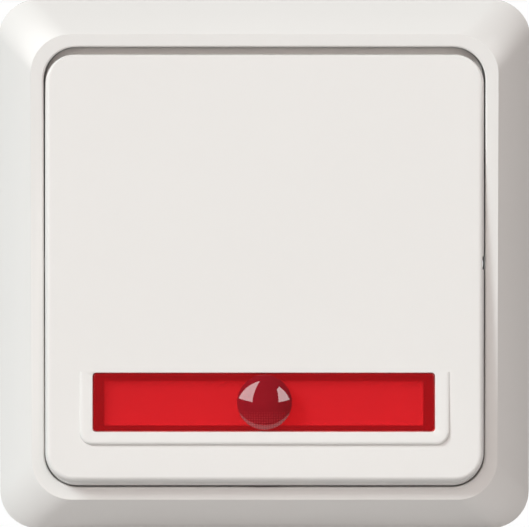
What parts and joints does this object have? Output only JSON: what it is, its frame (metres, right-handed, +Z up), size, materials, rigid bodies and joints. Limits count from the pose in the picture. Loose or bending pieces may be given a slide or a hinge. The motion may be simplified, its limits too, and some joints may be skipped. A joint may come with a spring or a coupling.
{
  "type": "pull cord switch",
  "caption": "Square flush-mounted pull cord switch with a sloped frame, a large rocker plate, a red label window and a domed signal lens.",
  "frame": {"origin": "midway between the two box screw slots, on the wall plane, which is the rear face of the support ring", "axes": "+X to the right as seen from the room, +Z up, +Y into the wall; the rocker faces -Y"},
  "size_m": [0.081, 0.0425, 0.081],
  "materials": {
    "white_gloss": "moulded, glossy, warm white",
    "white_satin": "moulded, satin white",
    "red_clear": "clear red, polished",
    "red_lens": "clear deep red, polished, with fine prisms inside",
    "label_card": "matt white card, bare",
    "grey_plastic": "moulded, fine grain",
    "black_plastic": "moulded, fine grain",
    "ivory_plastic": "moulded thermoset, fine grain",
    "orange_plastic": "moulded, glossy",
    "zinc_steel": "zinc-plated sheet, pressed",
    "bright_steel": "bright plated",
    "spring_steel": "drawn wire and strip",
    "brass": "stamped strip",
    "silver": "silver contact",
    "lamp_clear": "clear lamp",
    "board_green": "circuit board"
  },
  "bodies": {
    "root": {"cover_frame": "white_gloss", "cord_outlet_bush": "white_satin", "support_ring": "zinc_steel", "ring_rivets": "bright_steel", "socket_cover": "ivory_plastic", "socket_base": "ivory_plastic", "housing_screws": "bright_steel", "pivot_axle": "bright_steel", "return_spring": "spring_steel", "blade_pin": "bright_steel", "common_bar": "brass", "contact_spring": "spring_steel", "fixed_bar": "brass", "fixed_contact": "silver", "terminal_springs": "spring_steel", "terminal_block_left": "grey_plastic", "terminal_block_right": "grey_plastic", "lamp_holder": "black_plastic", "signal_lamp": "lamp_clear", "lamp_board": "board_green", "lamp_contacts": "brass"},
    "rocker": {"rocker_plate": "white_gloss", "window_hood": "red_clear", "signal_lens": "red_lens", "label_strip": "label_card", "label_tray": "white_satin", "rocker_cradle": "grey_plastic"},
    "plunger": {"plunger": "grey_plastic"},
    "blade": {"contact_blade": "brass", "moving_contact": "silver"},
    "pull_slider": {"pull_slider": "black_plastic"},
    "claw_screw_left": {"claw_screw_left": "bright_steel"},
    "claw_nut_left": {"claw_nut_left": "bright_steel"},
    "claw_left": {"claw_left": "zinc_steel"},
    "release_key_left": {"release_key_left": "orange_plastic"},
    "claw_screw_right": {"claw_screw_right": "bright_steel"},
    "claw_nut_right": {"claw_nut_right": "bright_steel"},
    "claw_right": {"claw_right": "zinc_steel"},
    "release_key_right": {"release_key_right": "orange_plastic"}
  },
  "joints": [
    {"name": "rocker_tilt", "type": "hinge", "parent": "root", "child": "rocker", "pos_m": [0, -0.0045, 0], "axis": [1, 0, 0], "range_deg": [0, 7], "stiffness_Nm_per_rad": 0.25, "springref_deg": -11.46},
    {"name": "pull_slide", "type": "slide", "parent": "root", "child": "pull_slider", "axis": [0, 0, -1], "range_m": [0, 0.0046]},
    {"name": "plunger_slide", "type": "slide", "parent": "root", "child": "plunger", "axis": [0, 1, 0], "range_m": [0, 0.0013], "deforming": ["return_spring"]},
    {"name": "blade_swing", "type": "hinge", "parent": "root", "child": "blade", "pos_m": [0, 0.00775, 0.01], "axis": [1, 0, 0], "range_deg": [0, 3.6], "deforming": ["contact_spring"]},
    {"name": "claw_nut_travel_left", "type": "slide", "parent": "root", "child": "claw_nut_left", "axis": [0, -1, 0], "range_m": [0, 0.004]},
    {"name": "claw_screw_turn_left", "type": "hinge", "parent": "root", "child": "claw_screw_left", "pos_m": [-0.0228, 0.01, 0], "axis": [0, 1, 0], "range_deg": [0, 3000]},
    {"name": "claw_travel_left", "type": "slide", "parent": "root", "child": "claw_left", "axis": [-0.53, -0.848, 0], "range_m": [0, 0.0049]},
    {"name": "release_key_press_left", "type": "slide", "parent": "root", "child": "release_key_left", "axis": [0, -1, 0], "range_m": [0, 0.0015], "stiffness_N_per_m": 1500, "springref_m": -0.0007},
    {"name": "claw_nut_travel_right", "type": "slide", "parent": "root", "child": "claw_nut_right", "axis": [0, -1, 0], "range_m": [0, 0.004]},
    {"name": "claw_screw_turn_right", "type": "hinge", "parent": "root", "child": "claw_screw_right", "pos_m": [0.0228, 0.01, 0], "axis": [0, 1, 0], "range_deg": [0, 3000]},
    {"name": "claw_travel_right", "type": "slide", "parent": "root", "child": "claw_right", "axis": [0.53, -0.848, 0], "range_m": [0, 0.0049]},
    {"name": "release_key_press_right", "type": "slide", "parent": "root", "child": "release_key_right", "axis": [0, -1, 0], "range_m": [0, 0.0015], "stiffness_N_per_m": 1500, "springref_m": -0.0007}
  ],
  "couplings": [
    {"joint": "pull_slide", "follows": "rocker_tilt", "m_per_rad": 0.036833},
    {"joint": "plunger_slide", "follows": "rocker_tilt", "m_per_rad": 0.01},
    {"joint": "blade_swing", "follows": "rocker_tilt", "ratio": 0.5},
    {"joint": "claw_screw_turn_left", "follows": "claw_nut_travel_left", "rad_per_m": 12566},
    {"joint": "claw_travel_left", "follows": "claw_nut_travel_left", "ratio": 1.1792},
    {"joint": "claw_screw_turn_right", "follows": "claw_nut_travel_right", "rad_per_m": 12566},
    {"joint": "claw_travel_right", "follows": "claw_nut_travel_right", "ratio": 1.1792}
  ]
}
